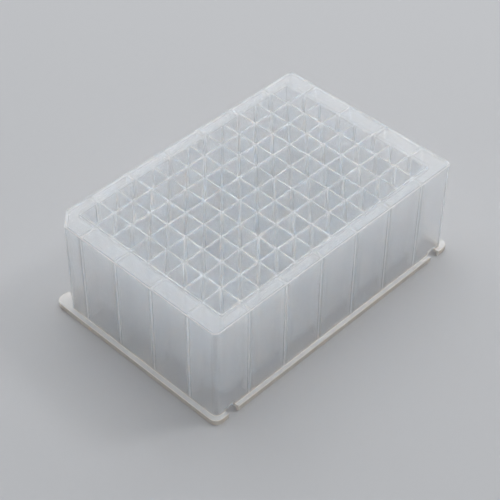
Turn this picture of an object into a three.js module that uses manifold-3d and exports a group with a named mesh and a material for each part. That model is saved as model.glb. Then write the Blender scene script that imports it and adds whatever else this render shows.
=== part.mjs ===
// Deep-well plate: 96 square wells with rounded ends, moulded in one shot with the
// deck, the ribbed skirt and the stacking foot that carry them.
//
// Millimetres, +Z up. The origin is the centre of the footprint, on the surface that the
// plate stands on. +X runs along the long side from column 1 to column 12, and +Y along
// the short side towards row A. The cut corner beside well A1 is at (-X, +Y).

import * as THREE from 'three';
import { mergeVertices } from 'three/addons/utils/BufferGeometryUtils.js';
import Module from 'manifold-3d';

// ---------------------------------------------------------------- driving dimensions

// The well grid of the standard 96-well format, and how far the middle of the outermost
// column and row stands from the edges of the footprint.
const COLUMNS = 12;
const ROWS = 8;
const PITCH = 9;
const EDGE_TO_COLUMN = 14.38;
const EDGE_TO_ROW = 11.24;
const BASE_CORNER = 3.18;
const TOTAL_HEIGHT = 44;

// Skirt and deck. The ledges are the steps from the skirt out to the edge of the foot.
const LEDGE_ENDS = 1.98;
const LEDGE_SIDES = 1.74;
const BODY_CORNER = 2.4;
const KEY_CUT = 6.1;
const SKIRT_WALL = 1;
const DECK_THICKNESS = 1.1;
const DECK_EDGE_ROUND = 0.5;
const RIM_HEIGHT = 0.6;

// Stacking foot: a flange round the skirt whose recess takes the deck of the plate below.
const FOOT_HEIGHT = 2.41;
const FOOT_LIP = 1.1;
const FOOT_RECESS = 1.3;
const FOOT_EDGE = 0.2;
const FOOT_ROOT = 0.3;

// Gripper notches near both ends of the long sides.
const NOTCH_WIDTH = 4.75;
const NOTCH_HEIGHT = 3.4;
const NOTCH_FROM_END = 8.68;

// Wells: square at the mouth, drafted to a rounded square, closed by a domed end. The two
// walls are the plastic between neighbours, at the mouth and where the ends begin.
const MOUTH_WALL = 0.8;
const LOWER_WALL = 1.1;
const MOUTH_CORNER = 0.4;
const LOWER_CORNER = 1.8;
const WELL_WALL = 1;
const END_FLAT_WIDTH = 3.2;
const END_FLAT_CORNER = 0.95;
const END_DEPTH = 3.6;
const UNDERSIDE_LIFT = 2.2;

// Outside of the well block.
const BLOCK_CORNER = 1.6;
const RIM_EDGE = 0.25;

// Ribs that tie the well block to the skirt, one for every second well, and the rounding
// of the pockets between them. The clearance is round the chamber under the block.
const RIB_THICKNESS = 1.1;
const WELLS_PER_RIB = 2;
const POCKET_CORNER = 0.8;
const CHAMBER_CLEARANCE = 0.3;

// How far a cutter or a joining piece runs past the face that it meets.
const OVERRUN = 0.5;

// Facets on each quarter-round corner, and bands down each domed end.
const LARGE_CORNER_FACETS = 4;
const POCKET_CORNER_FACETS = 2;
const WELL_CORNER_FACETS = 1;
const END_BANDS = 2;

// ---------------------------------------------------------------- derived sizes

const baseLength = (COLUMNS - 1) * PITCH + 2 * EDGE_TO_COLUMN;
const baseWidth = (ROWS - 1) * PITCH + 2 * EDGE_TO_ROW;
const bodyHalfLength = baseLength / 2 - LEDGE_ENDS;
const bodyHalfWidth = baseWidth / 2 - LEDGE_SIDES;
const deckTop = TOTAL_HEIGHT - RIM_HEIGHT;
const deckUnderside = deckTop - DECK_THICKNESS;
const mouthWidth = PITCH - MOUTH_WALL;
const lowerWidth = PITCH - LOWER_WALL;
const wellFloor = UNDERSIDE_LIFT + WELL_WALL;
const endStart = wellFloor + END_DEPTH;
const blockHalfLength = ((COLUMNS - 1) * PITCH + lowerWidth) / 2 + WELL_WALL;
const blockHalfWidth = ((ROWS - 1) * PITCH + lowerWidth) / 2 + WELL_WALL;
const insideHalfLength = bodyHalfLength - SKIRT_WALL;
const insideHalfWidth = bodyHalfWidth - SKIRT_WALL;
const ribSpacing = WELLS_PER_RIB * PITCH;
const ribsLongSide = COLUMNS / WELLS_PER_RIB;
const ribsShortSide = ROWS / WELLS_PER_RIB;

// ---------------------------------------------------------------- outlines

// One corner of an outline: a quarter-round of facets steps, or sharp where radius is 0.
function corner(x, y, radius, facets) {
  return { at: new THREE.Vector2(x, y), radius, facets };
}

// Points of an outline with rounded corners. corners run counter-clockwise. inset moves
// every side inwards and keeps the rounding concentric.
function outline(corners, inset = 0) {
  const count = corners.length;
  const inward = corners.map(({ at }, i) => {
    const along = corners[(i + 1) % count].at.clone().sub(at).normalize();
    return new THREE.Vector2(-along.y, along.x);
  });
  const points = [];
  corners.forEach(({ at, radius, facets }, i) => {
    const before = inward[(i + count - 1) % count];
    const after = inward[i];
    const turn = Math.atan2(before.cross(after), before.dot(after));
    const mitre = before.clone().add(after).divideScalar(1 + before.dot(after));
    if (radius === 0) {
      points.push(at.clone().addScaledVector(mitre, inset));
      return;
    }
    const towards = Math.sign(turn) * radius;
    const centre = at.clone().addScaledVector(mitre, towards);
    const start = before.clone().multiplyScalar(inset - towards);
    for (let step = 0; step <= facets; step += 1) {
      const spoke = start.clone().rotateAround(new THREE.Vector2(), turn * step / facets);
      points.push(centre.clone().add(spoke));
    }
  });
  return points;
}

// Corners of a rectangle between its low and high corners, all rounded alike.
function rectangle(x0, y0, x1, y1, radius, facets) {
  return [
    corner(x1, y1, radius, facets),
    corner(x0, y1, radius, facets),
    corner(x0, y0, radius, facets),
    corner(x1, y0, radius, facets),
  ];
}

function centredRectangle(halfLength, halfWidth, radius, facets) {
  return rectangle(-halfLength, -halfWidth, halfLength, halfWidth, radius, facets);
}

// Outline of the skirt: three round corners and the key cut beside well A1.
function skirtOutline(inset) {
  const x = bodyHalfLength;
  const y = bodyHalfWidth;
  return outline([
    corner(x, y, BODY_CORNER, LARGE_CORNER_FACETS),
    corner(KEY_CUT - x, y, 0),
    corner(-x, y - KEY_CUT, 0),
    corner(-x, -y, BODY_CORNER, LARGE_CORNER_FACETS),
    corner(x, -y, BODY_CORNER, LARGE_CORNER_FACETS),
  ], inset);
}

function footOutline(inset) {
  const corners = centredRectangle(
    baseLength / 2,
    baseWidth / 2,
    BASE_CORNER,
    LARGE_CORNER_FACETS,
  );
  return outline(corners, inset);
}

function blockOutline(inset) {
  const corners = centredRectangle(
    blockHalfLength,
    blockHalfWidth,
    BLOCK_CORNER,
    LARGE_CORNER_FACETS,
  );
  return outline(corners, inset);
}

function wellOutline(width, radius) {
  return outline(centredRectangle(width / 2, width / 2, radius, WELL_CORNER_FACETS));
}

// ---------------------------------------------------------------- lofts and booleans

const wasm = await Module();
wasm.setup();

// Closed skin through rings of equal point count, from the lowest ring to the highest.
function loft(rings) {
  const count = rings[0].points.length;
  const positions = [];
  const indices = [];
  for (const { points, z } of rings) {
    for (const point of points) positions.push(point.x, point.y, z);
  }
  for (let ring = 0; ring < rings.length - 1; ring += 1) {
    for (let i = 0; i < count; i += 1) {
      const next = (i + 1) % count;
      const low = ring * count;
      const high = low + count;
      indices.push(low + i, low + next, high + next, low + i, high + next, high + i);
    }
  }
  const top = (rings.length - 1) * count;
  for (const [a, b, c] of THREE.ShapeUtils.triangulateShape(rings[0].points, [])) {
    indices.push(a, c, b);
  }
  for (const [a, b, c] of THREE.ShapeUtils.triangulateShape(rings.at(-1).points, [])) {
    indices.push(top + a, top + b, top + c);
  }
  const geometry = new THREE.BufferGeometry();
  geometry.setAttribute('position', new THREE.Float32BufferAttribute(positions, 3));
  geometry.setIndex(indices);
  return toSolid(geometry);
}

// Straight prism of one outline between two heights.
function prism(points, z0, z1) {
  return loft([{ points, z: z0 }, { points, z: z1 }]);
}

function toSolid(geometry) {
  const merged = mergeVertices(geometry);
  return new wasm.Manifold(new wasm.Mesh({
    numProp: 3,
    vertProperties: new Float32Array(merged.attributes.position.array),
    triVerts: new Uint32Array(merged.index.array),
  }));
}

function toGeometry(solid) {
  const mesh = solid.getMesh();
  const geometry = new THREE.BufferGeometry();
  geometry.setAttribute('position', new THREE.Float32BufferAttribute(mesh.vertProperties, 3));
  geometry.setIndex(new THREE.Uint32BufferAttribute(mesh.triVerts, 1));
  geometry.computeVertexNormals();
  return geometry;
}

// ---------------------------------------------------------------- skirt, deck and foot

// Outside of the skirt up to the deck, with the soft edge round the deck.
function skirtBody() {
  const quarterPoint = DECK_EDGE_ROUND * (1 - Math.SQRT1_2);
  return loft([
    { points: skirtOutline(0), z: FOOT_RECESS },
    { points: skirtOutline(0), z: deckTop - DECK_EDGE_ROUND },
    { points: skirtOutline(quarterPoint), z: deckTop - quarterPoint },
    { points: skirtOutline(DECK_EDGE_ROUND), z: deckTop },
  ]);
}

// Sloped root where the skirt rises out of the foot.
function skirtRoot() {
  return loft([
    { points: skirtOutline(-FOOT_ROOT), z: FOOT_RECESS },
    { points: skirtOutline(-FOOT_ROOT), z: FOOT_HEIGHT },
    { points: skirtOutline(0), z: FOOT_HEIGHT + FOOT_ROOT },
  ]);
}

function footBody() {
  return loft([
    { points: footOutline(FOOT_EDGE), z: 0 },
    { points: footOutline(0), z: FOOT_EDGE },
    { points: footOutline(0), z: FOOT_HEIGHT - FOOT_EDGE },
    { points: footOutline(FOOT_EDGE), z: FOOT_HEIGHT },
  ]);
}

// Rim round the wells, standing above the deck.
function rim() {
  return loft([
    { points: blockOutline(0), z: deckUnderside },
    { points: blockOutline(0), z: TOTAL_HEIGHT - RIM_EDGE },
    { points: blockOutline(RIM_EDGE), z: TOTAL_HEIGHT },
  ]);
}

// Spaces that are open to the underside right across the plate: the recess in the foot,
// the room below the ribs, and the chamber that the rounded well ends hang in.
function undersideSpaces() {
  return [
    prism(footOutline(FOOT_LIP), -OVERRUN, FOOT_RECESS),
    prism(skirtOutline(SKIRT_WALL), -OVERRUN, FOOT_HEIGHT),
    prism(blockOutline(-CHAMBER_CLEARANCE), -OVERRUN, endStart),
  ];
}

function notches() {
  const inner = bodyHalfWidth - SKIRT_WALL - OVERRUN;
  const outer = baseWidth / 2 + OVERRUN;
  const centre = baseLength / 2 - NOTCH_FROM_END;
  const cutters = [];
  for (const end of [-1, 1]) {
    for (const side of [-1, 1]) {
      const geometry = new THREE.BoxGeometry(NOTCH_WIDTH, outer - inner, NOTCH_HEIGHT + OVERRUN);
      geometry.deleteAttribute('normal');
      geometry.deleteAttribute('uv');
      geometry.translate(end * centre, side * (inner + outer) / 2, (NOTCH_HEIGHT - OVERRUN) / 2);
      cutters.push(toSolid(geometry));
    }
  }
  return cutters;
}

// ---------------------------------------------------------------- pockets between the ribs

// Places of count things, a rib spacing apart and centred on the middle of a side.
function places(count) {
  return Array.from({ length: count }, (_, i) => (i - (count - 1) / 2) * ribSpacing);
}

function ribCorner(x, y) {
  return corner(x, y, POCKET_CORNER, POCKET_CORNER_FACETS);
}

// Corners of the straight pockets: between every two ribs along each of the four sides.
function straightPockets() {
  const half = (ribSpacing - RIB_THICKNESS) / 2;
  const pocket = (x0, y0, x1, y1) => rectangle(
    x0,
    y0,
    x1,
    y1,
    POCKET_CORNER,
    POCKET_CORNER_FACETS,
  );
  const pockets = [];
  for (const x of places(ribsLongSide - 1)) {
    pockets.push(pocket(x - half, blockHalfWidth, x + half, insideHalfWidth));
    pockets.push(pocket(x - half, -insideHalfWidth, x + half, -blockHalfWidth));
  }
  for (const y of places(ribsShortSide - 1)) {
    pockets.push(pocket(blockHalfLength, y - half, insideHalfLength, y + half));
    pockets.push(pocket(-insideHalfLength, y - half, -blockHalfLength, y + half));
  }
  return pockets;
}

// Corners of the pocket round the (+X, +Y) corner of the block, between the last ribs of
// its two sides. outside is the corner of the skirt that it follows.
function cornerPocket(outside) {
  const lastX = places(ribsLongSide).at(-1) + RIB_THICKNESS / 2;
  const lastY = places(ribsShortSide).at(-1) + RIB_THICKNESS / 2;
  return [
    ribCorner(insideHalfLength, lastY),
    ...outside,
    ribCorner(lastX, insideHalfWidth),
    ribCorner(lastX, blockHalfWidth),
    corner(blockHalfLength, blockHalfWidth, BLOCK_CORNER, LARGE_CORNER_FACETS),
    ribCorner(blockHalfLength, lastY),
  ];
}

// The same pocket at another corner of the plate; a single mirroring turns the order round.
function mirrored(corners, signX, signY) {
  const copy = corners.map(({ at, radius, facets }) => (
    corner(at.x * signX, at.y * signY, radius, facets)
  ));
  return signX * signY > 0 ? copy : copy.reverse();
}

function cornerPockets() {
  const x = insideHalfLength;
  const y = insideHalfWidth;
  const insideCut = KEY_CUT - SKIRT_WALL * (2 - Math.SQRT2);
  const round = cornerPocket([corner(x, y, BODY_CORNER - SKIRT_WALL, LARGE_CORNER_FACETS)]);
  const keyed = cornerPocket([corner(x, y - insideCut, 0), corner(x - insideCut, y, 0)]);
  return [
    mirrored(round, 1, 1),
    mirrored(keyed, -1, 1),
    mirrored(round, -1, -1),
    mirrored(round, 1, -1),
  ];
}

// One pocket, from the foot up to the underside of the deck.
function pocketSpace(corners) {
  return prism(outline(corners), FOOT_HEIGHT - OVERRUN, deckUnderside);
}

// ---------------------------------------------------------------- wells

// Rings down the rounded end of a well, its flat first. The section shrinks along a quarter
// ellipse to a small octagonal flat. offset is 0 inside and WELL_WALL outside.
function endRings(offset) {
  const startWidth = lowerWidth + 2 * offset;
  const startCorner = LOWER_CORNER + offset;
  const rings = [];
  for (let band = END_BANDS; band >= 0; band -= 1) {
    const angle = band / END_BANDS * Math.PI / 2;
    const drop = Math.sin(angle);
    const width = END_FLAT_WIDTH + (startWidth - END_FLAT_WIDTH) * Math.cos(angle);
    const radius = startCorner + (END_FLAT_CORNER - startCorner) * drop;
    rings.push({ points: wellOutline(width, radius), z: endStart - (END_DEPTH + offset) * drop });
  }
  return rings;
}

// Cavity of one well, running straight on above its mouth.
function wellCavity() {
  const mouth = wellOutline(mouthWidth, MOUTH_CORNER);
  return loft([
    ...endRings(0),
    { points: mouth, z: TOTAL_HEIGHT },
    { points: mouth, z: TOTAL_HEIGHT + OVERRUN },
  ]);
}

// Outside of one well end, with a plug that runs up into the well block.
function wellEnd() {
  const plug = wellOutline(lowerWidth + WELL_WALL, LOWER_CORNER);
  return loft([...endRings(WELL_WALL), { points: plug, z: endStart + 2 * OVERRUN }]);
}

// Middle of each well.
function wellCentres() {
  const centres = [];
  for (let column = 0; column < COLUMNS; column += 1) {
    for (let row = 0; row < ROWS; row += 1) {
      centres.push(new THREE.Vector2(
        (column - (COLUMNS - 1) / 2) * PITCH,
        ((ROWS - 1) / 2 - row) * PITCH,
      ));
    }
  }
  return centres;
}

// ---------------------------------------------------------------- the whole moulding

function wellPlate() {
  const centres = wellCentres();
  const end = wellEnd();
  const cavity = wellCavity();
  const pockets = [...straightPockets(), ...cornerPockets()];
  let plate = footBody().add(skirtBody()).add(skirtRoot()).add(rim());
  for (const space of undersideSpaces()) plate = plate.subtract(space);
  for (const pocket of pockets) plate = plate.subtract(pocketSpace(pocket));
  for (const cutter of notches()) plate = plate.subtract(cutter);
  for (const { x, y } of centres) plate = plate.add(end.translate(x, y, 0));
  for (const { x, y } of centres) plate = plate.subtract(cavity.translate(x, y, 0));
  return plate;
}

const polypropylene = new THREE.MeshStandardMaterial({
  color: 0xd2d8dc,
  roughness: 0.42,
  metalness: 0,
  transparent: true,
  opacity: 0.62,
});

const plateMesh = new THREE.Mesh(toGeometry(wellPlate()), polypropylene);
plateMesh.name = 'well_plate';

const group = new THREE.Group();
group.add(plateMesh);

export default group;
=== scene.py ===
import math

import bmesh
import bpy
from mathutils import Matrix, Vector


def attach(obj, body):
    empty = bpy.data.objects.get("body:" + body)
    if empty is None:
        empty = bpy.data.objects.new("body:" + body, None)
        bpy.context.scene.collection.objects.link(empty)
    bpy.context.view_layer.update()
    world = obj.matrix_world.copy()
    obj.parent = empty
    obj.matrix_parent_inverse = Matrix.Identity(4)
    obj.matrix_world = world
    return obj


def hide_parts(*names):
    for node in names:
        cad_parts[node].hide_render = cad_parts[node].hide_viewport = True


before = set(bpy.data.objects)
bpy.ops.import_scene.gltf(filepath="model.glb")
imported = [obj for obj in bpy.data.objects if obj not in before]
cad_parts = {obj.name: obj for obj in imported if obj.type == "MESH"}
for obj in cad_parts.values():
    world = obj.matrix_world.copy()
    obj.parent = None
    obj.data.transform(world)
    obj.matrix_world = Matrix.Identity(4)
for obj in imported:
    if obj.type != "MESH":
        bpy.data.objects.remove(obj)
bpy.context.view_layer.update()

MM = 0.001

# ------------------------------------------------------------------ sizes, in millimetres

BASE_LENGTH, BASE_WIDTH, BASE_CORNER = 127.76, 85.48, 3.18
TOTAL_HEIGHT = 44.0
COLUMNS, ROWS, PITCH = 12, 8, 9.0
BODY_LENGTH, BODY_WIDTH, BODY_CORNER = 123.8, 82.0, 2.4
KEY_CUT, KEY_CORNER = 6.1, 0.7
SKIRT_WALL, DECK_THICKNESS, DECK_EDGE, RIM_HEIGHT = 1.0, 1.1, 0.5, 0.6
FOOT_HEIGHT, FOOT_LIP, FOOT_RECESS, FOOT_EDGE, FOOT_ROOT = 2.41, 1.1, 1.3, 0.25, 0.3
NOTCH_WIDTH, NOTCH_HEIGHT, NOTCH_OFFSET = 4.75, 3.4, 55.2
MOUTH_WIDTH, MOUTH_CORNER, MOUTH_LIP = 8.2, 0.4, 0.12
LOWER_WIDTH, LOWER_CORNER, WELL_WALL = 7.9, 1.8, 1.0
END_FLAT_WIDTH, END_FLAT_CORNER, END_DEPTH, UNDERSIDE_LIFT = 3.2, 1.3, 3.6, 2.2
BLOCK_CORNER, RIM_EDGE = 1.6, 0.25
RIB_THICKNESS, RIB_SPACING, RIBS_LONG_SIDE, RIBS_SHORT_SIDE = 1.1, 18.0, 6, 4
POCKET_CORNER, POCKET_EDGE = 0.8, 0.4
OVERRUN = 0.5
CORNER_STEPS, WELL_STEPS, END_BANDS = 8, 5, 8

deck_top = TOTAL_HEIGHT - RIM_HEIGHT
deck_underside = deck_top - DECK_THICKNESS
well_floor = UNDERSIDE_LIFT + WELL_WALL
end_start = well_floor + END_DEPTH
block_x = ((COLUMNS - 1) * PITCH + LOWER_WIDTH) / 2 + WELL_WALL
block_y = ((ROWS - 1) * PITCH + LOWER_WIDTH) / 2 + WELL_WALL

# ------------------------------------------------------------------ look

# CLARITY is the share of light that enters the resin; each share on the next line is taken from it and
# turned milky, which paints light onto one place.
RESIN_IOR, CLARITY = 1.49, 0.975
# Painted light: these shares lighten the lines over the ribs, the wall tops, the upright corners, the
# foot and the rounded edges.
RIB_PAINTED_LIGHT, CREST_PAINTED_LIGHT, CORNER_PAINTED_LIGHT, FOOT_PAINTED_LIGHT, EDGE_PAINTED_HIGHLIGHT = 0.12, 0.085, 0.12, 0.55, 0.95
ROUGHNESS, DECK_MATT = 0.18, 0.06
# The third colour is a painted warm glow, put on the foot's sides.
RESIN, RESIN_PALE, PAINTED_FOOT_GLOW = (0.985, 0.992, 1.0, 1), (0.995, 0.998, 1.0, 1), (1.0, 0.95, 0.885, 1)
HAZE, HAZE_DENSITY = (0.84, 0.92, 1.0, 1), 345.0
MOTTLE_DEPTH, SATIN_DEPTH, WAVE_DEPTH, SINK_DEPTH, SINK_WIDTH = 0.045, 0.0006, 0.02, 0.03, 1.2
# The gap keeps the floor from lying in the plane of the plate's foot.
FLOOR_HALF, FLOOR_GAP = 3.0, 0.0001
FLOOR_PALE, FLOOR_BOUNCE = (0.58, 0.58, 0.59, 1), (0.3, 0.29, 0.275, 1)
LAMPS = (
    ("overhead", (0.3, 0.4, 0.9), 1.4, 7.8, (0.98, 0.99, 1.0)),
    ("right", (0.6, -0.4, 0.85), 0.25, 2.0, (1.0, 1.0, 1.0)),
)
WORLD_COLOUR, WORLD_STRENGTH = (0.92, 0.96, 1.0, 1), 0.35
LIGHT_BOUNCES = 96
CAMERA_AT, CAMERA_FORWARD = (-0.28474, -0.27175, 0.38471), (0.5232, 0.5054, -0.6862)
CAMERA_ROLL, CAMERA_LENS, SENSOR_WIDTH = 0.44, 103.29, 36

# ------------------------------------------------------------------ outlines


def offset_polygon(corners, inset):
    """The polygon with every edge moved inwards by inset; corners run counter-clockwise."""
    count = len(corners)
    moved = []
    for i in range(count):
        before = (corners[i] - corners[i - 1]).normalized()
        after = (corners[(i + 1) % count] - corners[i]).normalized()
        n0, n1 = Vector((-before.y, before.x)), Vector((-after.y, after.x))
        moved.append(corners[i] + (n0 + n1) * (inset / (1 + n0.dot(n1))))
    return moved


def rounded(corners, radii, steps, inset=0.0):
    """Points of a polygon with arcs at its corners, offset inwards by inset."""
    count = len(corners)
    shifted = offset_polygon(corners, inset)
    points = []
    for i, corner in enumerate(shifted):
        before = (shifted[i - 1] - corner).normalized()
        after = (shifted[(i + 1) % count] - corner).normalized()
        convex = before.cross(after) < 0
        radius = max(radii[i] - inset if convex else radii[i] + inset, 0.05)
        half = before.angle(after) / 2
        centre = corner + (before + after).normalized() * (radius / math.sin(half))
        start = corner + before * (radius / math.tan(half)) - centre
        sweep = (math.pi - 2 * half) * (1 if convex else -1)
        for step in range(steps + 1):
            points.append(centre + Matrix.Rotation(sweep * step / steps, 2) @ start)
    return points


def rectangle(half_x, half_y):
    x, y = half_x, half_y
    return [Vector(p) for p in ((x, y), (-x, y), (-x, -y), (x, -y))]


def keyed_corners():
    """Corners and radii of the skirt's outline, with the cut corner at (-X, +Y)."""
    x, y = BODY_LENGTH / 2, BODY_WIDTH / 2
    corners = ((x, y), (-x + KEY_CUT, y), (-x, y - KEY_CUT), (-x, -y), (x, -y))
    return [Vector(p) for p in corners], [BODY_CORNER, KEY_CORNER, KEY_CORNER, BODY_CORNER, BODY_CORNER]


# ------------------------------------------------------------------ solids


def loft(mesh, rings):
    """Adds a closed skin to a bmesh through (points, height) rings of equal point count."""
    loops = [[mesh.verts.new((p.x, p.y, z)) for p in points] for points, z in rings]
    for low, high in zip(loops, loops[1:]):
        for i in range(len(low)):
            j = (i + 1) % len(low)
            mesh.faces.new((low[i], low[j], high[j], high[i]))
    mesh.faces.new(list(reversed(loops[0])))
    mesh.faces.new(loops[-1])


def solid(name, *ring_sets):
    """An object in millimetres made of one closed skin for each list of rings."""
    mesh = bmesh.new()
    for rings in ring_sets:
        loft(mesh, rings)
    data = bpy.data.meshes.new(name)
    mesh.to_mesh(data)
    mesh.free()
    obj = bpy.data.objects.new(name, data)
    bpy.context.scene.collection.objects.link(obj)
    return obj


def combine(target, tool, operation):
    """target becomes target and tool joined or cut; tool is used up."""
    modifier = target.modifiers.new(operation, "BOOLEAN")
    modifier.operation, modifier.solver, modifier.object = operation, "MANIFOLD", tool
    graph = bpy.context.evaluated_depsgraph_get()
    data = bpy.data.meshes.new_from_object(target.evaluated_get(graph))
    old = target.data
    target.modifiers.clear()
    target.data = data
    bpy.data.meshes.remove(old)
    bpy.data.objects.remove(tool)


def edge_rounding(section, radius, top, steps=4):
    """Rings of a rounded top edge: section(inset) gives the points, top is the height reached."""
    rings = []
    for step in range(steps + 1):
        angle = math.pi / 2 * step / steps
        rings.append((section(radius * (1 - math.cos(angle))), top - radius * (1 - math.sin(angle))))
    return rings


def skirt(inset=0.0):
    corners, radii = keyed_corners()
    return rounded(corners, radii, CORNER_STEPS, inset)


def foot(inset=0.0):
    return rounded(rectangle(BASE_LENGTH / 2, BASE_WIDTH / 2), [BASE_CORNER] * 4, CORNER_STEPS, inset)


def block(inset=0.0):
    return rounded(rectangle(block_x, block_y), [BLOCK_CORNER] * 4, CORNER_STEPS, inset)


def body_solid():
    """Foot, skirt, deck and the block that the wells are sunk into."""
    low = [(foot(FOOT_EDGE * (1 - math.cos(a))), FOOT_EDGE * (1 - math.sin(a)))
           for a in (math.pi / 2, math.pi / 4, 0)]
    high = edge_rounding(foot, FOOT_EDGE, FOOT_HEIGHT, 3)
    plate = solid("well_plate_body", [(foot(FOOT_EDGE), 0)] + low[1:] + high)
    root = []
    for step in range(5):
        angle = math.pi / 2 * step / 4
        section = skirt(-FOOT_ROOT * (1 - math.sin(angle)))
        root.append((section, FOOT_HEIGHT + FOOT_ROOT * (1 - math.cos(angle))))
    upper = [(skirt(-FOOT_ROOT), FOOT_RECESS)] + root + edge_rounding(skirt, DECK_EDGE, deck_top, 5)
    combine(plate, solid("skirt", upper), "UNION")
    rim = [(block(), end_start + OVERRUN)] + edge_rounding(block, RIM_EDGE, TOTAL_HEIGHT, 4)
    combine(plate, solid("block", rim), "UNION")
    return plate


def pocket_outlines():
    """Corners and radii of each space under the deck, between skirt, ribs and well block."""
    outer_x, outer_y = BODY_LENGTH / 2 - SKIRT_WALL, BODY_WIDTH / 2 - SKIRT_WALL
    half_rib = RIB_THICKNESS / 2
    outlines = []

    def box(x0, x1, y0, y1):
        corners = [Vector(p) for p in ((x1, y1), (x0, y1), (x0, y0), (x1, y0))]
        outlines.append((corners, [POCKET_CORNER] * 4))

    for side in (-1, 1):
        for i in range(RIBS_LONG_SIDE - 1):
            x = (i - (RIBS_LONG_SIDE - 2) / 2) * RIB_SPACING
            low, high = sorted((side * block_y, side * outer_y))
            box(x - RIB_SPACING / 2 + half_rib, x + RIB_SPACING / 2 - half_rib, low, high)
        for i in range(RIBS_SHORT_SIDE - 1):
            y = (i - (RIBS_SHORT_SIDE - 2) / 2) * RIB_SPACING
            low, high = sorted((side * block_x, side * outer_x))
            box(low, high, y - RIB_SPACING / 2 + half_rib, y + RIB_SPACING / 2 - half_rib)
    last_x = (RIBS_LONG_SIDE - 1) / 2 * RIB_SPACING + half_rib
    last_y = (RIBS_SHORT_SIDE - 1) / 2 * RIB_SPACING + half_rib
    inner_corner = BODY_CORNER - SKIRT_WALL
    cut = KEY_CUT - SKIRT_WALL * (2 - math.sqrt(2))
    for sx, sy in ((1, 1), (-1, 1), (-1, -1), (1, -1)):
        keyed = (sx, sy) == (-1, 1)
        outer = [(outer_x - cut, outer_y), (outer_x, outer_y - cut)] if keyed else [(outer_x, outer_y)]
        inner = [(outer_x, last_y), (block_x, last_y), (block_x, block_y), (last_x, block_y)]
        corners = [(last_x, outer_y)] + outer + inner
        radii = [POCKET_CORNER] + ([0.3, 0.3] if keyed else [inner_corner])
        radii += [POCKET_CORNER, POCKET_CORNER, BLOCK_CORNER, POCKET_CORNER]
        corners = [Vector((sx * x, sy * y)) for x, y in corners]
        if sx * sy > 0:
            corners.reverse()
            radii.reverse()
        outlines.append((corners, radii))
    return outlines


def cut_hollows(plate):
    pockets = []
    for corners, radii in pocket_outlines():
        section = lambda inset: rounded(corners, radii, 4, inset)
        top = edge_rounding(section, POCKET_EDGE, deck_underside, 3)
        pockets.append([(section(0), FOOT_RECESS)] + top)
    combine(plate, solid("pockets", *pockets), "DIFFERENCE")
    inner = skirt(SKIRT_WALL)
    combine(plate, solid("under_ribs", [(inner, -OVERRUN), (inner, FOOT_HEIGHT)]), "DIFFERENCE")
    recess = foot(FOOT_LIP)
    combine(plate, solid("recess", [(recess, -OVERRUN), (recess, FOOT_RECESS)]), "DIFFERENCE")
    chamber = block(-0.3)
    combine(plate, solid("chamber", [(chamber, -OVERRUN), (chamber, end_start)]), "DIFFERENCE")


def cut_notches(plate):
    cutters = []
    reach = BODY_WIDTH / 2 - SKIRT_WALL - OVERRUN
    for side in (-1, 1):
        low, high = sorted((side * reach, side * (BASE_WIDTH / 2 + OVERRUN)))
        for end in (-1, 1):
            x0, x1 = end * NOTCH_OFFSET - NOTCH_WIDTH / 2, end * NOTCH_OFFSET + NOTCH_WIDTH / 2
            corners = [Vector(p) for p in ((x1, high), (x0, high), (x0, low), (x1, low))]
            cutters.append([(corners, -OVERRUN), (corners, NOTCH_HEIGHT)])
    combine(plate, solid("notches", *cutters), "DIFFERENCE")


# ------------------------------------------------------------------ wells


def well_section(width, corner):
    return rounded(rectangle(width / 2, width / 2), [corner] * 4, WELL_STEPS)


def end_rings(offset):
    """Rings of a well's rounded end, lowest first; offset is 0 inside and WELL_WALL outside."""
    start_width, start_corner = LOWER_WIDTH + 2 * offset, LOWER_CORNER + offset
    rings = []
    for band in range(END_BANDS, -1, -1):
        angle = math.pi / 2 * band / END_BANDS
        drop = math.sin(angle)
        width = END_FLAT_WIDTH + (start_width - END_FLAT_WIDTH) * math.cos(angle)
        corner = start_corner + (END_FLAT_CORNER - start_corner) * drop
        rings.append((well_section(width, corner), end_start - (END_DEPTH + offset) * drop))
    return rings


def moved(rings, x, y):
    shift = Vector((x, y))
    return [([p + shift for p in points], z) for points, z in rings]


def cavity_rings():
    rings = end_rings(0)
    mouth = lambda grow: well_section(MOUTH_WIDTH + 2 * grow, MOUTH_CORNER + grow)
    rings.append((mouth(0), TOTAL_HEIGHT - MOUTH_LIP))
    for step in range(1, 4):
        angle = math.pi / 2 * step / 3
        section = mouth(MOUTH_LIP * (1 - math.cos(angle)))
        rings.append((section, TOTAL_HEIGHT - MOUTH_LIP * (1 - math.sin(angle))))
    rings.append((mouth(MOUTH_LIP), TOTAL_HEIGHT + OVERRUN))
    return rings


def add_wells(plate):
    centres = [((c - (COLUMNS - 1) / 2) * PITCH, ((ROWS - 1) / 2 - r) * PITCH, c % 2, r % 2)
               for c in range(COLUMNS) for r in range(ROWS)]
    neck = well_section(LOWER_WIDTH + WELL_WALL, LOWER_CORNER)
    end = end_rings(WELL_WALL) + [(neck, end_start + 2 * OVERRUN)]
    for odd_column in (0, 1):
        for odd_row in (0, 1):
            group = [moved(end, x, y) for x, y, c, r in centres if (c, r) == (odd_column, odd_row)]
            combine(plate, solid("ends", *group), "UNION")
    cavity = cavity_rings()
    combine(plate, solid("cavities", *[moved(cavity, x, y) for x, y, c, r in centres]), "DIFFERENCE")


def build_plate():
    plate = body_solid()
    cut_hollows(plate)
    cut_notches(plate)
    add_wells(plate)
    plate.name = plate.data.name = "well_plate_visual"
    plate.data.transform(Matrix.Scale(MM, 4))
    plate.data.shade_smooth()
    plate.data.set_sharp_from_angle(angle=math.radians(38))
    weighted = plate.modifiers.new("weighted", "WEIGHTED_NORMAL")
    weighted.keep_sharp = True
    return plate


# ------------------------------------------------------------------ material


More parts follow.
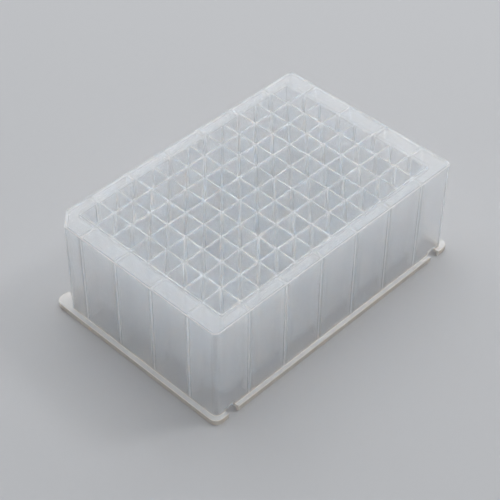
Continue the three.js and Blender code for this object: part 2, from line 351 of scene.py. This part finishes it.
class Nodes:
    """Short calls for building a node tree; a socket, a number or a colour may feed any input."""

    def __init__(self, tree):
        self.tree = tree

    def add(self, kind, inputs=(), **settings):
        node = self.tree.nodes.new(kind)
        for name, value in settings.items():
            setattr(node, name, value)
        for key, value in dict(inputs).items():
            self.feed(value, node.inputs[key])
        return node

    def feed(self, value, socket):
        if isinstance(value, bpy.types.NodeSocket):
            self.tree.links.new(value, socket)
        else:
            socket.default_value = value

    def math(self, operation, a, b=0.0, c=0.0):
        return self.add("ShaderNodeMath", {0: a, 1: b, 2: c}, operation=operation).outputs[0]

    def ramp(self, value, low, high, to_low=0.0, to_high=1.0):
        """value between low and high becomes to_low to to_high along a smooth step."""
        inputs = {"Value": value, "From Min": low, "From Max": high,
                  "To Min": to_low, "To Max": to_high}
        return self.add("ShaderNodeMapRange", inputs, interpolation_type="SMOOTHSTEP").outputs[0]

    def noise(self, vector, scale, detail=2.0, roughness=0.5):
        inputs = {"Vector": vector, "Scale": scale, "Detail": detail, "Roughness": roughness}
        return self.add("ShaderNodeTexNoise", inputs).outputs[0]


def rib_sinks(n, along, across, last_rib, block_half):
    """1 on the line of a rib, fading to 0 beside it; only outside the well block."""
    half = RIB_SPACING / 2 * MM
    distance = n.math("SUBTRACT", half, n.math("PINGPONG", along, half))
    line = n.ramp(distance, 0.0, SINK_WIDTH * MM, 1.0, 0.0)
    outside = n.math("GREATER_THAN", n.math("ABSOLUTE", across), block_half * MM)
    within = n.math("LESS_THAN", n.math("ABSOLUTE", along), (last_rib + 2) * MM)
    return n.math("MULTIPLY", line, n.math("MULTIPLY", outside, within))


def polypropylene():
    material = bpy.data.materials.new("natural_polypropylene")
    material.use_nodes = True
    n = Nodes(material.node_tree)
    shader = material.node_tree.nodes["Principled BSDF"]
    output = material.node_tree.nodes["Material Output"]
    place = n.add("ShaderNodeTexCoord")
    spot = place.outputs["Object"]
    axes = n.add("ShaderNodeSeparateXYZ", {0: spot}).outputs
    facing = n.add("ShaderNodeSeparateXYZ", {0: place.outputs["Normal"]}).outputs

    # The flat of the deck: faces up, below the rim and above the ribs.
    up = n.ramp(facing[2], 0.85, 0.98)
    high = n.math("GREATER_THAN", axes[2], (deck_top - 0.3) * MM)
    low = n.math("LESS_THAN", axes[2], (deck_top + 0.2) * MM)
    deck = n.math("MULTIPLY", up, n.math("MULTIPLY", high, low))
    # Wall tops and rim crest: painted light further down makes them lighter through a milky share.
    rim = n.math("GREATER_THAN", axes[2], (deck_top + 0.2) * MM)
    crest = n.math("MULTIPLY", n.ramp(facing[2], 0.3, 0.8), rim)

    # Relief, in metres: mottle of the deck, satin of the tool, sinks over the ribs, and
    # the faint unevenness of tall moulded walls.
    mottle = n.ramp(n.noise(spot, 620.0, 3.0, 0.6), 0.38, 0.62)
    satin = n.noise(spot, 3200.0, 2.0, 0.5)
    stretched = n.add("ShaderNodeMapping", {"Vector": spot, "Scale": (1.0, 1.0, 0.12)}).outputs[0]
    wave = n.noise(stretched, 160.0, 1.0, 0.4)
    sinks = n.math(
        "MAXIMUM",
        rib_sinks(n, axes[0], axes[1], (RIBS_LONG_SIDE - 1) / 2 * RIB_SPACING, block_y + 0.4),
        rib_sinks(n, axes[1], axes[0], (RIBS_SHORT_SIDE - 1) / 2 * RIB_SPACING, block_x + 0.4),
    )
    height = n.math("MULTIPLY", n.math("MULTIPLY", mottle, deck), MOTTLE_DEPTH * MM)
    height = n.math("MULTIPLY_ADD", satin, SATIN_DEPTH * MM, height)
    height = n.math("MULTIPLY_ADD", wave, WAVE_DEPTH * MM, height)
    height = n.math("MULTIPLY_ADD", sinks, -SINK_DEPTH * MM, height)
    bump = n.add("ShaderNodeBump", {"Height": height, "Strength": 1.0, "Distance": 1.0})
    n.feed(bump.outputs[0], shader.inputs["Normal"])

    # Polish differs a little from place to place, and the deck is more matt.
    patches = n.ramp(n.noise(spot, 90.0, 3.0, 0.55), 0.35, 0.65, ROUGHNESS - 0.02, ROUGHNESS + 0.03)
    n.feed(n.math("MULTIPLY_ADD", deck, DECK_MATT, patches), shader.inputs["Roughness"])

    # Natural resin is bluish where light scatters in it. The cream on the foot's sides is a painted
    # warm glow of light shining along the resin.
    cloud = n.noise(spot, 45.0, 3.0, 0.5)
    body = n.add("ShaderNodeMix", {0: cloud, 6: RESIN, 7: RESIN_PALE}, data_type="RGBA").outputs[2]
    foot_share = n.ramp(axes[2], FOOT_HEIGHT * MM, (FOOT_HEIGHT + 0.4) * MM, 1.0, 0.0)
    # Painted light: the rounded upright corners of wells and skirt are made milky, so they show as
    # lighter lines.
    across, along = n.math("ABSOLUTE", facing[0]), n.math("ABSOLUTE", facing[1])
    corners = n.ramp(n.math("MINIMUM", across, along), 0.25, 0.6)

    # Painted highlight: the rounded edges of the foot and the deck, where light leaves the plastic, are
    # made almost fully milky so they show as bright lines.
    rim_share = n.math("MULTIPLY", n.math("GREATER_THAN", axes[2], (deck_top - 1.0) * MM), low)
    slope = n.math("MULTIPLY", n.ramp(facing[2], 0.08, 0.3), n.ramp(facing[2], 0.9, 0.98, 1.0, 0.0))
    edges = n.math("MULTIPLY", slope, n.math("MAXIMUM", foot_share, rim_share))
    # Painted glow: the foot's faces that don't face up take the cream colour.
    painted_glow_share = n.math("MULTIPLY", foot_share, n.math("SUBTRACT", 1.0, up))
    tint = n.add("ShaderNodeMix", {0: painted_glow_share, 6: body, 7: PAINTED_FOOT_GLOW}, data_type="RGBA").outputs[2]
    n.feed(tint, shader.inputs["Base Color"])
    shader.inputs["IOR"].default_value = RESIN_IOR
    # Painted light: the plastic is made milky over the ribs and on the wall tops, so they show as
    # lighter lines.
    painted_light_share = n.math("MAXIMUM", n.math("MULTIPLY", sinks, RIB_PAINTED_LIGHT), n.math("MULTIPLY", crest, CREST_PAINTED_LIGHT))
    # Painted light: the whole foot is made much milkier so it shows lighter.
    painted_light_share = n.add("ShaderNodeMix", {0: foot_share, 2: painted_light_share, 3: FOOT_PAINTED_LIGHT}, data_type="FLOAT").outputs[0]
    painted_light_share = n.math("MAXIMUM", painted_light_share, n.math("MULTIPLY", edges, EDGE_PAINTED_HIGHLIGHT))
    painted_light_share = n.math("MAXIMUM", painted_light_share, n.math("MULTIPLY", corners, CORNER_PAINTED_LIGHT))
    # The painted light shares are taken out of the transmission and become diffuse.
    shader.inputs["Transmission Weight"].default_value = CLARITY
    n.feed(n.math("SUBTRACT", CLARITY, painted_light_share), shader.inputs["Transmission Weight"])

    haze = n.add("ShaderNodeVolumeScatter", {"Color": HAZE, "Density": HAZE_DENSITY})
    n.feed(haze.outputs[0], output.inputs["Volume"])
    return material


plate = build_plate()
plate.data.materials.clear()
plate.data.materials.append(polypropylene())
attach(plate, "root")
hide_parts("well_plate")

# ------------------------------------------------------------------ stage, light and camera


def stage():
    """A plain pale floor. What looks at it sees it pale; it sends half that light back up."""
    size = FLOOR_HALF
    data = bpy.data.meshes.new("floor")
    corners = [(-size, -size, 0), (size, -size, 0), (size, size, 0), (-size, size, 0)]
    data.from_pydata(corners, [], [(0, 1, 2, 3)])
    floor = bpy.data.objects.new("floor", data)
    floor.location.z = -FLOOR_GAP
    bpy.context.scene.collection.objects.link(floor)
    material = bpy.data.materials.new("floor")
    material.use_nodes = True
    n = Nodes(material.node_tree)
    shader = material.node_tree.nodes["Principled BSDF"]
    path = n.add("ShaderNodeLightPath").outputs
    seen = n.math("MAXIMUM", path["Is Camera Ray"], path["Is Glossy Ray"])
    seen = n.math("MAXIMUM", seen, path["Is Transmission Ray"])
    colour = n.add("ShaderNodeMix", {0: seen, 6: FLOOR_BOUNCE, 7: FLOOR_PALE}, data_type="RGBA")
    n.feed(colour.outputs[2], shader.inputs["Base Color"])
    # Far from the lamps the floor is seen as pale as near them, like a lit backdrop.
    place = n.add("ShaderNodeTexCoord").outputs["Object"]
    reach = n.add("ShaderNodeVectorMath", {0: place}, operation="LENGTH").outputs["Value"]
    shader.inputs["Emission Color"].default_value = FLOOR_PALE
    n.feed(n.math("MULTIPLY", seen, n.ramp(reach, 0.2, 1.5)), shader.inputs["Emission Strength"])
    shader.inputs["Roughness"].default_value = 0.9
    shader.inputs["Specular IOR Level"].default_value = 0.2
    data.materials.append(material)


def area_light(name, position, size, power, colour):
    """A square softbox that faces the middle of the plate."""
    data = bpy.data.lights.new(name, "AREA")
    data.shape, data.size, data.energy, data.color = "SQUARE", size, power, colour
    lamp = bpy.data.objects.new(name, data)
    lamp.location = position
    lamp.rotation_euler = (Vector((0, 0, 0.02)) - Vector(position)).to_track_quat("-Z", "Y").to_euler()
    bpy.context.scene.collection.objects.link(lamp)


def camera():
    data = bpy.data.cameras.new("camera")
    data.sensor_width = SENSOR_WIDTH
    data.lens = CAMERA_LENS
    data.clip_start = 0.01
    eye = bpy.data.objects.new("camera", data)
    bpy.context.scene.collection.objects.link(eye)
    eye.matrix_world = (Matrix.Translation(CAMERA_AT)
                        @ Vector(CAMERA_FORWARD).to_track_quat("-Z", "Y").to_matrix().to_4x4()
                        @ Matrix.Rotation(math.radians(CAMERA_ROLL), 4, "Z"))
    bpy.context.scene.camera = eye


stage()
for lamp in LAMPS:
    area_light(*lamp)
camera()

scene = bpy.context.scene
world = bpy.data.worlds.new("studio")
world.use_nodes = True
world.node_tree.nodes["Background"].inputs["Color"].default_value = WORLD_COLOUR
world.node_tree.nodes["Background"].inputs["Strength"].default_value = WORLD_STRENGTH
scene.world = world
scene.view_settings.view_transform = "Standard"

# Light crosses many walls in this part, so its paths are long and aren't blurred on the way.
scene.cycles.blur_glossy = 0.0
scene.cycles.max_bounces = scene.cycles.transmission_bounces = LIGHT_BOUNCES
scene.cycles.volume_bounces = scene.cycles.glossy_bounces = LIGHT_BOUNCES
scene.cycles.diffuse_bounces = LIGHT_BOUNCES
scene.cycles.transparent_max_bounces = 8
